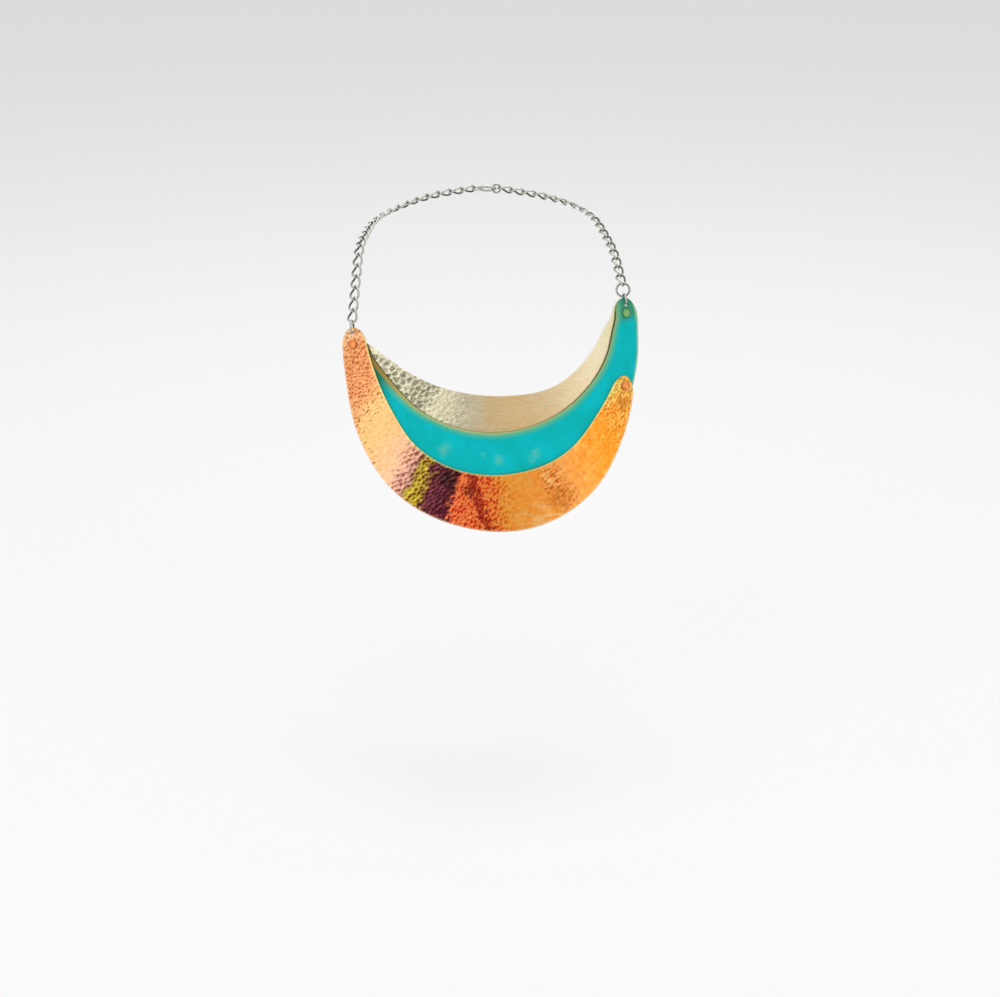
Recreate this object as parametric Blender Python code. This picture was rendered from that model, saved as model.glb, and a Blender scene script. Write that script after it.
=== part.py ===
"""Bib necklace: three riveted sheet crescents that hang on an open curb chain.

Metres, +Z up. The origin is at the nape, on the side that lies on the neck. The bib hangs
in front, towards -Y, and +X is its right side as seen from the front.
"""
import math
from bisect import bisect_right
from collections import namedtuple

import bmesh
import bpy
from mathutils import Matrix, Vector

# Bib: its middle from the nape, its lean on the chest and the bend round it
BIB_FORWARD = 0.141
BIB_DROP = 0.088
BIB_LEAN = math.radians(25)
BIB_BEND = 0.190
CENTRE_RISE = 0.045

# Crescents: radii and widths at the middle, measured from their common centre
COPPER_EDGE = 0.110
COPPER_WIDTH = 0.0305
PATINA_SHOWS = 0.0240
BRASS_SHOWS = 0.0195
OVERLAP = 0.0080
TIP_LENGTH = 0.0087
COPPER_SHEET = 0.0008
PATINA_SHEET = 0.0008
BRASS_SHEET = 0.0008

# Clearance between pieces that touch on the real necklace
CLEARANCE = 0.0003

# Rivets
SHANK = 0.0024
LEFT_HEAD = 0.0053
RIGHT_HEAD = 0.0047
LOWER_HEAD = 0.0049
HEAD_EDGE = 0.0004
HEAD_DOME = 0.0007
TAIL = 0.0042
TAIL_HEIGHT = 0.0006
TAIL_FLAT = 0.8

# Jump rings: outside diameters, wires, and how far each is turned in its hole
LEFT_RING = 0.0083
RIGHT_RING = 0.0069
LARGE_RING = 0.0085
END_RING = 0.0062
SMALL_WIRE = 0.0011
LARGE_WIRE = 0.0012
RING_TURN = math.radians(15)
LARGE_TURN = math.radians(-28)
END_TURN = math.radians(-78)

# Curb chain
LEFT_LINKS = 22
RIGHT_LINKS = 19
LINK_WIDTH = 0.0064
LINK_WIRE = 0.0012
LINK_TWIST = math.radians(-45)

# Clasp, one plain piece: a long loop with an eyelet at its left end
CLASP_LENGTH = 0.0110
CLASP_WIDTH = 0.0065
CLASP_WIRE = 0.0018
EYELET = 0.0054
EYELET_WIRE = 0.0012

# Facets
COLUMNS = 40
TIP_COLUMNS = 5
ROWS = 5
RIVET_SIDES = 16
RING_SIDES = 16
LINK_SIDES = 12
LINK_WIRE_STEPS = 1
RING_WIRE_STEPS = 2
ROUTE_SAMPLES = 400
DOME_STEPS = 4
CUTTER_REACH = 3
SHARP_ANGLE = math.radians(35)
MERGE = 0.000001

# Columns of the crescents' tables: angle from straight down, degrees, towards the right;
# then the inner and outer edges as shares of that crescent's own radii at the middle
Section = namedtuple("Section", "angle inner outer")
COPPER_SECTIONS = (
    (-92, 0.852, 0.733),
    (-71, 0.821, 0.755),
    (-50, 0.848, 0.832),
    (-29, 0.931, 0.921),
    (-9, 0.982, 0.976),
    (12, 1.003, 1.004),
    (32, 1.001, 0.965),
    (53, 0.958, 0.870),
    (73, 0.962, 0.793),
)
PATINA_SECTIONS = (
    (-88, 1.254, 0.905),
    (-64, 1.072, 0.926),
    (-40, 1.018, 0.977),
    (-16, 1.000, 1.000),
    (8, 1.016, 1.006),
    (32, 1.058, 1.011),
    (56, 1.132, 1.014),
    (80, 1.238, 0.998),
    (90, 1.274, 0.989),
    (97, 1.319, 0.990),
    (104, 1.337, 0.978),
)
BRASS_SECTIONS = (
    (-88, 1.972, 1.230),
    (-82, 1.755, 1.222),
    (-70, 1.478, 1.190),
    (-50, 1.203, 1.110),
    (-25, 1.033, 1.040),
    (0, 1.000, 1.000),
    (25, 1.094, 1.040),
    (50, 1.331, 1.125),
    (75, 1.606, 1.235),
    (91, 1.828, 1.306),
    (98, 1.986, 1.330),
    (104, 2.045, 1.342),
)

# Rivets and ring holes: angle in degrees, and share of the way across the sheets' overlap
LEFT_RIVET = (-84.7, 0.67)
RIGHT_RIVET = (97.8, 0.56)
LOWER_RIVET = (69.3, 0.58)
LEFT_HOLE = (-89.5, 0.57)
RIGHT_HOLE = (101.4, 0.63)

# Route of the chain over the shoulders and round the nape, chosen by eye
LEFT_ROUTE = (
    (-0.0722, -0.0860, -0.0270),
    (-0.0712, -0.0720, -0.0155),
    (-0.0688, -0.0570, -0.0110),
    (-0.0645, -0.0370, -0.0080),
    (-0.0530, -0.0190, -0.0050),
    (-0.0330, -0.0045, -0.0010),
)
RIGHT_ROUTE = (
    (0.0713, -0.0730, -0.0180),
    (0.0667, -0.0540, -0.0115),
    (0.0613, -0.0370, -0.0065),
    (0.0500, -0.0180, -0.0035),
    (0.0320, -0.0045, -0.0010),
)
# Middle of the wearer's shoulders: links lie with their backs to it
SHOULDER_DEPTH = 0.062
SHOULDER_DROP = 0.078
SHOULDER_SPREAD = 0.6

# Base colour, metallic and roughness
COPPER = ((0.80, 0.32, 0.12), 1.0, 0.35)
PATINA = ((0.02, 0.42, 0.42), 0.2, 0.60)
BRASS = ((0.72, 0.63, 0.42), 1.0, 0.32)
GREENED = ((0.25, 0.50, 0.32), 0.5, 0.50)
CHAIN_METAL = ((0.55, 0.54, 0.48), 1.0, 0.35)


# Radii of the crescents at the middle, and the heights of the sheets' middles
copper_inner = COPPER_EDGE - COPPER_WIDTH
patina_inner = copper_inner - PATINA_SHOWS
brass_inner = patina_inner - BRASS_SHOWS
patina_edge = copper_inner + OVERLAP
brass_edge = patina_inner + OVERLAP
copper_lift = PATINA_SHEET / 2 + CLEARANCE + COPPER_SHEET / 2
brass_lift = -(PATINA_SHEET / 2 + CLEARANCE + BRASS_SHEET / 2)
Crescent = namedtuple("Crescent", "sections inner outer sheet lift")


def table(rows):
    return [Section(*row) for row in rows]


copper = Crescent(table(COPPER_SECTIONS), copper_inner, COPPER_EDGE, COPPER_SHEET, copper_lift)
patina = Crescent(table(PATINA_SECTIONS), patina_inner, patina_edge, PATINA_SHEET, 0.0)
brass = Crescent(table(BRASS_SECTIONS), brass_inner, brass_edge, BRASS_SHEET, brass_lift)

BIB_FRAME = Matrix.Translation((0, -BIB_FORWARD, -BIB_DROP)) @ Matrix.Rotation(-BIB_LEAN, 4, "X")


# Shared helpers
def clear_scene():
    for thing in list(bpy.data.objects):
        bpy.data.objects.remove(thing, do_unlink=True)


def metal(name, finish):
    colour, metallic, roughness = finish
    material = bpy.data.materials.new(name)
    material.use_nodes = True
    shader = material.node_tree.nodes["Principled BSDF"]
    shader.inputs["Base Color"].default_value = (*colour, 1.0)
    shader.inputs["Metallic"].default_value = metallic
    shader.inputs["Roughness"].default_value = roughness
    return material


def add_object(name, data, material):
    thing = bpy.data.objects.new(name, data)
    bpy.context.scene.collection.objects.link(thing)
    if material is not None and not data.materials:
        data.materials.append(material)
    return thing


def mesh_of(bm, name):
    mesh = bpy.data.meshes.new(name)
    bm.to_mesh(mesh)
    bm.free()
    return mesh


def smooth_value(knots, values, at):
    """Value at a place on a smooth curve through values that stand at the knots."""
    last = len(knots) - 1
    first = max(0, min(bisect_right(knots, at) - 1, last - 1))

    def slope(knot):
        before, after = max(knot - 1, 0), min(knot + 1, last)
        return (values[after] - values[before]) / (knots[after] - knots[before])

    span = knots[first + 1] - knots[first]
    t = (at - knots[first]) / span
    start_part = 2 * t**3 - 3 * t**2 + 1
    leaving_part = (t**3 - 2 * t**2 + t) * span
    arriving_part = (t**3 - t**2) * span
    return (
        values[first] * start_part
        + slope(first) * leaving_part
        + values[first + 1] * (1 - start_part)
        + slope(first + 1) * arriving_part
    )


# Places on the bib
def bib_point(angle, radius, lift):
    """Point at an angle and radius from the crescents' centre, lifted out of the sheet."""
    turn = radius * math.sin(math.radians(angle)) / BIB_BEND
    rise = CENTRE_RISE - radius * math.cos(math.radians(angle))
    reach = BIB_BEND + lift
    return BIB_FRAME @ Vector((reach * math.sin(turn), BIB_BEND - reach * math.cos(turn), rise))


def outward_at(angle, radius):
    return (bib_point(angle, radius, BIB_BEND) - bib_point(angle, radius, 0)).normalized()


def edges_at(crescent, angle):
    """Inner and outer radius of a crescent at an angle."""
    angles = [row.angle for row in crescent.sections]
    inner_share = smooth_value(angles, [row.inner for row in crescent.sections], angle)
    outer_share = smooth_value(angles, [row.outer for row in crescent.sections], angle)
    return crescent.inner * inner_share, crescent.outer * outer_share


def place_in_overlap(place, crescents):
    """Angle and radius of a hole, from its share of the way across what all sheets cover."""
    angle, share = place
    edges = [edges_at(crescent, angle) for crescent in crescents]
    low = max(inner for inner, outer in edges)
    high = min(outer for inner, outer in edges)
    return angle, low + share * (high - low)


def front_and_back(crescents):
    """Lift of the front face of the first sheet and of the back face of the last."""
    front, back = crescents[0], crescents[-1]
    return front.lift + front.sheet / 2, back.lift - back.sheet / 2


def tipwards(place, way):
    """Direction along the crescents at a place, towards larger angles or smaller ones."""
    angle, radius = place
    return (bib_point(angle + way, radius, 0) - bib_point(angle, radius, 0)).normalized()


# Crescents
def crescent_columns(crescent):
    """Angles along a crescent, each with how full its width is; both tips are rounded."""
    tips = crescent.sections[0].angle, crescent.sections[-1].angle
    columns = []
    inside = []
    for tip, way in zip(tips, (1, -1)):
        tip_reach = math.degrees(TIP_LENGTH / (sum(edges_at(crescent, tip)) / 2)) * way
        inside.append(tip + tip_reach)
        for step in range(TIP_COLUMNS):
            turn = math.pi / 2 * step / TIP_COLUMNS
            columns.append((tip + tip_reach * (1 - math.cos(turn)), math.sin(turn)))
    for step in range(COLUMNS + 1):
        columns.append((inside[0] + (inside[1] - inside[0]) * step / COLUMNS, 1.0))
    return sorted(columns)


def crescent_mesh(name, crescent):
    """Middle surface of a crescent, bent to the chest."""
    bm = bmesh.new()
    strips = []
    for angle, fullness in crescent_columns(crescent):
        inner, outer = edges_at(crescent, angle)
        middle, half = (inner + outer) / 2, (outer - inner) / 2 * fullness
        shares = [2 * row / ROWS - 1 for row in range(ROWS + 1)] if fullness else [0]
        points = [bib_point(angle, middle + half * share, crescent.lift) for share in shares]
        strips.append([bm.verts.new(point) for point in points])
    for left, right in zip(strips, strips[1:]):
        for row in range(ROWS):
            corners = [left[min(row, len(left) - 1)], left[min(row + 1, len(left) - 1)]]
            corners += [right[min(row + 1, len(right) - 1)], right[min(row, len(right) - 1)]]
            bm.faces.new(list(dict.fromkeys(corners)))
    bmesh.ops.triangulate(bm, faces=bm.faces[:])
    return mesh_of(bm, name)


def make_crescent(name, crescent, material, cutters):
    thing = add_object(name, crescent_mesh(name, crescent), material)
    wall = thing.modifiers.new("wall", "SOLIDIFY")
    wall.thickness = crescent.sheet
    wall.offset = 0
    wall.use_even_offset = True
    flats = thing.modifiers.new("flats", "TRIANGULATE")
    flats.min_vertices = 4
    for cutter in cutters:
        cut = thing.modifiers.new(cutter.name, "BOOLEAN")
        cut.operation = "DIFFERENCE"
        cut.object = cutter
    return thing


def make_cutter(name, place, radius, lifts):
    """Round cutter square to the sheet, from one lift to another."""
    front, back = lifts
    bm = bmesh.new()
    bmesh.ops.create_cone(
        bm,
        cap_ends=True,
        segments=RIVET_SIDES,
        radius1=radius,
        radius2=radius,
        depth=(front - back) * CUTTER_REACH,
    )
    cutter = add_object(name, mesh_of(bm, name), None)
    outward = outward_at(*place)
    turn = outward.to_track_quat("Z", "Y").to_matrix().to_4x4()
    cutter.matrix_world = Matrix.Translation(bib_point(*place, (front + back) / 2)) @ turn
    cutter.hide_render = True
    cutter.display_type = "WIRE"
    return cutter


# Rivets
def make_rivet(name, place, lifts, head, material):
    """Domed head, shank and flat tail, turned in one piece."""
    front, back = lifts
    middle = (front + back) / 2
    top = front + CLEARANCE - middle
    bottom = back - CLEARANCE - middle
    profile = [(0, bottom - TAIL_HEIGHT), (TAIL / 2 * TAIL_FLAT, bottom - TAIL_HEIGHT)]
    profile += [(TAIL / 2, bottom - TAIL_HEIGHT / 2), (TAIL / 2, bottom)]
    profile += [(SHANK / 2, bottom), (SHANK / 2, top), (head / 2, top)]
    for step in range(DOME_STEPS):
        turn = math.pi / 2 * step / DOME_STEPS
        profile.append((head / 2 * math.cos(turn), top + HEAD_EDGE + HEAD_DOME * math.sin(turn)))
    profile.append((0, top + HEAD_EDGE + HEAD_DOME))
    bm = bmesh.new()
    corners = [bm.verts.new((radius, 0, height)) for radius, height in profile]
    for low, high in zip(corners, corners[1:]):
        bm.edges.new((low, high))
    bmesh.ops.spin(
        bm,
        geom=bm.verts[:] + bm.edges[:],
        cent=(0, 0, 0),
        axis=(0, 0, 1),
        angle=2 * math.pi,
        steps=RIVET_SIDES,
        use_merge=True,
    )
    bmesh.ops.remove_doubles(bm, verts=bm.verts[:], dist=MERGE)
    bmesh.ops.recalc_face_normals(bm, faces=bm.faces[:])
    rivet = add_object(name, mesh_of(bm, name), material)
    turn = outward_at(*place).to_track_quat("Z", "Y").to_matrix().to_4x4()
    rivet.matrix_world = Matrix.Translation(bib_point(*place, middle)) @ turn
    return rivet


# Wire: every ring and link is a closed curve with a round section
def closed_wire(name, points, wire, steps):
    curve = bpy.data.curves.new(name, "CURVE")
    curve.dimensions = "3D"
    curve.bevel_depth = wire / 2
    curve.bevel_resolution = steps
    spline = curve.splines.new("POLY")
    spline.points.add(len(points) - 1)
    for spot, point in zip(spline.points, points):
        spot.co = (*point, 1.0)
    spline.use_cyclic_u = True
    return curve


def axes_matrix(middle, along, outward):
    """Frame with X along a direction and Z as near to outward as it can be."""
    x_axis = along.normalized()
    z_axis = (outward - x_axis * outward.dot(x_axis)).normalized()
    y_axis = z_axis.cross(x_axis)
    return Matrix.Translation(middle) @ Matrix((x_axis, y_axis, z_axis)).transposed().to_4x4()


def ring_points(radius):
    turns = [2 * math.pi * step / RING_SIDES for step in range(RING_SIDES)]
    return [(radius * math.cos(turn), radius * math.sin(turn), 0) for turn in turns]


def make_ring(name, outside, wire, middle, along, across_axis, turn, material):
    """Jump ring that holds at both ends of a direction, turned about it from its flat."""
    data = closed_wire(name, ring_points((outside - wire) / 2), wire, RING_WIRE_STEPS)
    ring = add_object(name, data, material)
    ring.matrix_world = axes_matrix(middle, along, across_axis) @ Matrix.Rotation(turn, 4, "X")
    return ring


def ring_hole(outside, wire, lifts):
    """Radius of the hole that a turned ring passes through without touching."""
    front, back = lifts
    reach = (front - back) / 2
    radius = (outside - wire) / 2
    bow = radius - math.sqrt(radius**2 - reach**2)
    return wire / 2 / math.cos(RING_TURN) + reach * math.tan(RING_TURN) + bow + CLEARANCE


# Chain
def sampled_route(points):
    """Even walk along the smooth curve through the route's points."""
    knots = [0.0]
    for here, there in zip(points, points[1:]):
        knots.append(knots[-1] + (there - here).length)
    steps = [knots[-1] * step / ROUTE_SAMPLES for step in range(ROUTE_SAMPLES + 1)]
    walk = [smooth_value(knots, points, step) for step in steps]
    distances = [0.0]
    for here, there in zip(walk, walk[1:]):
        distances.append(distances[-1] + (there - here).length)
    return distances, walk


def link_points(length):
    """Oval centre line whose two ends are twisted opposite ways about the chain."""
    points = []
    for step in range(LINK_SIDES):
        turn = 2 * math.pi * step / LINK_SIDES
        along = length / 2 * math.cos(turn)
        aside = (LINK_WIDTH - LINK_WIRE) / 2 * math.sin(turn)
        twist = LINK_TWIST * math.cos(turn)
        points.append((along, aside * math.cos(twist), aside * math.sin(twist)))
    return points


def away_from_shoulders(point):
    middle = Vector((point.x * SHOULDER_SPREAD, -SHOULDER_DEPTH, -SHOULDER_DROP))
    return point - middle


def make_chain(name, count, start, route, finish, wires, material):
    """A count of curb links from one wire to another, as long as it takes to fill the way."""
    distances, walk = sampled_route([start, *(Vector(point) for point in route), finish])
    start_wire, finish_wire = wires
    reach = distances[-1] + CLEARANCE + start_wire / 2 + finish_wire / 2
    pitch = reach / count
    length = pitch + LINK_WIRE + CLEARANCE
    data = closed_wire(name + "_link", link_points(length), LINK_WIRE, LINK_WIRE_STEPS)
    for index in range(count):
        distance = (index + 0.5) * pitch - CLEARANCE / 2 - start_wire / 2
        middle = smooth_value(distances, walk, distance)
        before = smooth_value(distances, walk, distance - pitch / 2)
        after = smooth_value(distances, walk, distance + pitch / 2)
        link = add_object(f"{name}_link_{index + 1:02d}", data, material)
        middle = (middle + (before + after) / 2) / 2
        link.matrix_world = axes_matrix(middle, after - before, away_from_shoulders(middle))


# Clasp
def make_clasp(outward, material):
    """Long loop with an eyelet, in one piece; gives the wires that hold the chain's ends."""
    loop_half = (CLASP_LENGTH - CLASP_WIRE) / 2
    loop_aside = (CLASP_WIDTH - CLASP_WIRE) / 2
    eyelet_radius = (EYELET - EYELET_WIRE) / 2
    turns = [2 * math.pi * step / RING_SIDES for step in range(RING_SIDES)]
    loop = [(loop_half * math.cos(turn), loop_aside * math.sin(turn), 0) for turn in turns]
    standoff = (LINK_WIDTH - LINK_WIRE) / 2 * math.sin(abs(LINK_TWIST)) + LINK_WIRE / 2
    seat = axes_matrix(outward.normalized() * standoff, Vector((1, 0, 0)), outward)
    clasp = add_object("clasp", closed_wire("clasp", loop, CLASP_WIRE, RING_WIRE_STEPS), material)
    clasp.matrix_world = seat
    eyelet_data = closed_wire("eyelet", ring_points(eyelet_radius), EYELET_WIRE, RING_WIRE_STEPS)
    eyelet = add_object("eyelet", eyelet_data, material)
    eyelet_middle = -(loop_half + eyelet_radius)
    turned = Matrix.Rotation(-LINK_TWIST, 4, "X")
    eyelet.matrix_world = seat @ Matrix.Translation((eyelet_middle, 0, 0)) @ turned
    fuse(clasp, eyelet, material)
    eyelet_wire = seat @ Vector((eyelet_middle - eyelet_radius, 0, 0))
    loop_wire = seat @ Vector((loop_half, 0, 0))
    return eyelet_wire, loop_wire


def fuse(first, second, material):
    """Make one solid of two curves that run into each other, under the first one's name."""
    depsgraph = bpy.context.evaluated_depsgraph_get()
    pair = []
    for source in (first, second):
        mesh = bpy.data.meshes.new_from_object(source.evaluated_get(depsgraph))
        copy = add_object(source.name + "_form", mesh, material)
        copy.matrix_world = source.matrix_world.copy()
        pair.append(copy)
    name = first.name
    for source in (first, second):
        bpy.data.objects.remove(source, do_unlink=True)
    pair[0].name = name
    join = pair[0].modifiers.new("join", "BOOLEAN")
    join.operation = "UNION"
    join.object = pair[1]
    pair[1].hide_render = True
    pair[1].display_type = "WIRE"


# Build
clear_scene()
copper_metal = metal("copper", COPPER)
patina_metal = metal("patina", PATINA)
brass_metal = metal("brass", BRASS)
greened_metal = metal("greened_copper", GREENED)
chain_metal = metal("chain_metal", CHAIN_METAL)

all_sheets = (copper, patina, brass)
lower_sheets = (copper, patina)
right_sheets = (patina, brass)
left_rivet = place_in_overlap(LEFT_RIVET, all_sheets)
right_rivet = place_in_overlap(RIGHT_RIVET, right_sheets)
lower_rivet = place_in_overlap(LOWER_RIVET, lower_sheets)
left_hole = place_in_overlap(LEFT_HOLE, (copper,))
right_hole = place_in_overlap(RIGHT_HOLE, right_sheets)
left_lifts = front_and_back((copper,))
right_lifts = front_and_back(right_sheets)

rivet_hole = SHANK / 2 + CLEARANCE
left_cut = make_cutter("left_rivet_cut", left_rivet, rivet_hole, front_and_back(all_sheets))
right_cut = make_cutter("right_rivet_cut", right_rivet, rivet_hole, right_lifts)
lower_cut = make_cutter("lower_rivet_cut", lower_rivet, rivet_hole, front_and_back(lower_sheets))
left_ring_hole = ring_hole(LEFT_RING, SMALL_WIRE, left_lifts)
right_ring_hole = ring_hole(RIGHT_RING, SMALL_WIRE, right_lifts)
left_ring_cut = make_cutter("left_ring_cut", left_hole, left_ring_hole, left_lifts)
right_ring_cut = make_cutter("right_ring_cut", right_hole, right_ring_hole, right_lifts)

make_crescent("brass_crescent", brass, brass_metal, (left_cut, right_cut, right_ring_cut))
make_crescent("patina_crescent", patina, patina_metal, (left_cut, right_cut, lower_cut, right_ring_cut))
make_crescent("copper_crescent", copper, copper_metal, (left_cut, lower_cut, left_ring_cut))

make_rivet("left_rivet", left_rivet, front_and_back(all_sheets), LEFT_HEAD, copper_metal)
make_rivet("right_rivet", right_rivet, right_lifts, RIGHT_HEAD, greened_metal)
make_rivet("lower_rivet", lower_rivet, front_and_back(lower_sheets), LOWER_HEAD, copper_metal)

# Jump rings: each ring's wire runs through the middle of its hole
left_middle = sum(left_lifts) / 2
left_up = tipwards(left_hole, -1)
left_radius = (LEFT_RING - SMALL_WIRE) / 2
left_bottom = bib_point(*left_hole, left_middle)
left_aside = left_up.cross(outward_at(*left_hole))
make_ring(
    "left_ring",
    LEFT_RING,
    SMALL_WIRE,
    left_bottom + left_up * left_radius,
    left_up,
    left_aside,
    RING_TURN,
    chain_metal,
)
left_start = left_bottom + left_up * left_radius * 2

right_middle = sum(right_lifts) / 2
right_up = tipwards(right_hole, 1)
right_radius = (RIGHT_RING - SMALL_WIRE) / 2
right_bottom = bib_point(*right_hole, right_middle)
right_outward = outward_at(*right_hole)
make_ring(
    "right_ring",
    RIGHT_RING,
    SMALL_WIRE,
    right_bottom + right_up * right_radius,
    right_up,
    right_up.cross(right_outward),
    -RING_TURN,
    chain_metal,
)
large_radius = (LARGE_RING - LARGE_WIRE) / 2
nested = (SMALL_WIRE + LARGE_WIRE) / 2 + CLEARANCE
large_bottom = right_bottom + right_up * (right_radius * 2 - nested)
make_ring(
    "large_ring",
    LARGE_RING,
    LARGE_WIRE,
    large_bottom + right_up * large_radius,
    right_up,
    right_outward,
    LARGE_TURN,
    chain_metal,
)
right_start = large_bottom + right_up * large_radius * 2

# Clasp, its end ring, and the two runs of chain
nape_outward = away_from_shoulders(Vector((0, 0, 0)))
eyelet_wire, loop_wire = make_clasp(nape_outward, chain_metal)
end_radius = (END_RING - SMALL_WIRE) / 2
along_clasp = Vector((1, 0, 0))
end_inside = loop_wire - along_clasp * ((CLASP_WIRE + SMALL_WIRE) / 2 + CLEARANCE)
make_ring(
    "end_ring",
    END_RING,
    SMALL_WIRE,
    end_inside + along_clasp * end_radius,
    along_clasp,
    nape_outward,
    END_TURN,
    chain_metal,
)
end_outside = end_inside + along_clasp * end_radius * 2
left_wires = (SMALL_WIRE, EYELET_WIRE)
right_wires = (LARGE_WIRE, SMALL_WIRE)
make_chain("left", LEFT_LINKS, left_start, LEFT_ROUTE, eyelet_wire, left_wires, chain_metal)
make_chain("right", RIGHT_LINKS, right_start, RIGHT_ROUTE, end_outside, right_wires, chain_metal)

# Turned and cut pieces are shaded smooth up to their sharp edges
for thing in bpy.data.objects:
    if thing.type == "MESH":
        thing.data.shade_smooth()
        thing.data.set_sharp_from_angle(angle=SHARP_ANGLE)
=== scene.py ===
"""Looks of the bib necklace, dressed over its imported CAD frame.

Metres, +Z up. The nape is at the origin, the bib hangs in front, towards -Y, and +X is its
right side as seen from the front.
"""

import math

import bmesh
import bpy
import numpy as np
from mathutils import Matrix, Vector
from mathutils.kdtree import KDTree


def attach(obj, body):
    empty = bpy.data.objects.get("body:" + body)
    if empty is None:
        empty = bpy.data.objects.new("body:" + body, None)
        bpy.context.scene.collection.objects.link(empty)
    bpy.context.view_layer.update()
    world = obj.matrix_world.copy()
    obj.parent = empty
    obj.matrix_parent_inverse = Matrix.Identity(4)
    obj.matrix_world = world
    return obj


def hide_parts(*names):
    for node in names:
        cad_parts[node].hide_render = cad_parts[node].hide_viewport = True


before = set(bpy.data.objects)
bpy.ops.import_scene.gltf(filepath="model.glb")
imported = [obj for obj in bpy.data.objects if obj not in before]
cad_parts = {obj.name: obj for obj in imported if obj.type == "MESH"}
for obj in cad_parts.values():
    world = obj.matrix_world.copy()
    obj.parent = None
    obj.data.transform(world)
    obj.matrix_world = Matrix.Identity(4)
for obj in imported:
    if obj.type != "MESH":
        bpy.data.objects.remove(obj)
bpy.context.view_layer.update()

# Camera. A portrait lens a metre in front of the bib and above it, looking down at the bib's
# middle, as the photograph was taken.
CAMERA_PLACE = (0.00754984, -0.98672336, 0.21981813)
CAMERA_DIP = math.radians(22.971)
LENS = 60
SENSOR = 36
NEAREST, FARTHEST = 0.02, 60

camera_data = bpy.data.cameras.new("camera")
camera_data.lens = LENS
camera_data.sensor_width = SENSOR
camera_data.clip_start = NEAREST
camera_data.clip_end = FARTHEST
camera = bpy.data.objects.new("camera", camera_data)
camera.location = CAMERA_PLACE
camera.rotation_euler = (math.pi / 2 - CAMERA_DIP, 0, 0)
bpy.context.scene.collection.objects.link(camera)
bpy.context.scene.camera = camera
bpy.context.scene.view_settings.view_transform = "Standard"

# Studio. A plain pale floor under the necklace, a pale room that is a little darker in front
# of the bib, and soft boxes: a broad one on the left, a weaker one on the right, one overhead.
FLOOR_DROP = 0.30
FLOOR_SIDE = 24.0
FLOOR_PAINT = (0.90, 0.90, 0.90)
ROOM_STRENGTH = 0.86
# How far up a direction points, and the room's colour there
WALL_TONES = ((-1, (0.6, 0.6, 0.62)), (0.1, (0.8, 0.8, 0.82)), (1, (1, 1, 1)))
FRONT_TONE = (0.22, 0.21, 0.21)
FRONT_SHARE = 0.25
BIB_MIDDLE = (0, -0.14, -0.10)
# Name, place, width, power and tint
SOFT_BOXES = (
    ("left_box", (-1.05, -1.15, 0.62), 0.9, 3.0, (1.0, 0.98, 0.95)),
    ("right_box", (1.10, -1.10, 0.50), 0.8, 1.9, (1.0, 0.98, 0.95)),
    ("top_box", (0.1, 0.3, 1.5), 1.0, 8, (1.0, 1.0, 1.0)),
)


class Value:
    """One output in a material's nodes. Arithmetic on it adds Math nodes."""

    def __init__(self, finish, socket):
        self.finish = finish
        self.socket = socket

    def math(self, operation, *others):
        values = dict(enumerate(others))
        return self.finish.node("ShaderNodeMath", {"operation": operation}, values)

    def __add__(self, other):
        return self.math("ADD", self, other)

    def __radd__(self, other):
        return self.math("ADD", other, self)

    def __sub__(self, other):
        return self.math("SUBTRACT", self, other)

    def __rsub__(self, other):
        return self.math("SUBTRACT", other, self)

    def __mul__(self, other):
        return self.math("MULTIPLY", self, other)

    def __rmul__(self, other):
        return self.math("MULTIPLY", other, self)

    def clamped(self):
        return self.math("MINIMUM", self.math("MAXIMUM", self, 0.0), 1.0)


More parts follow.
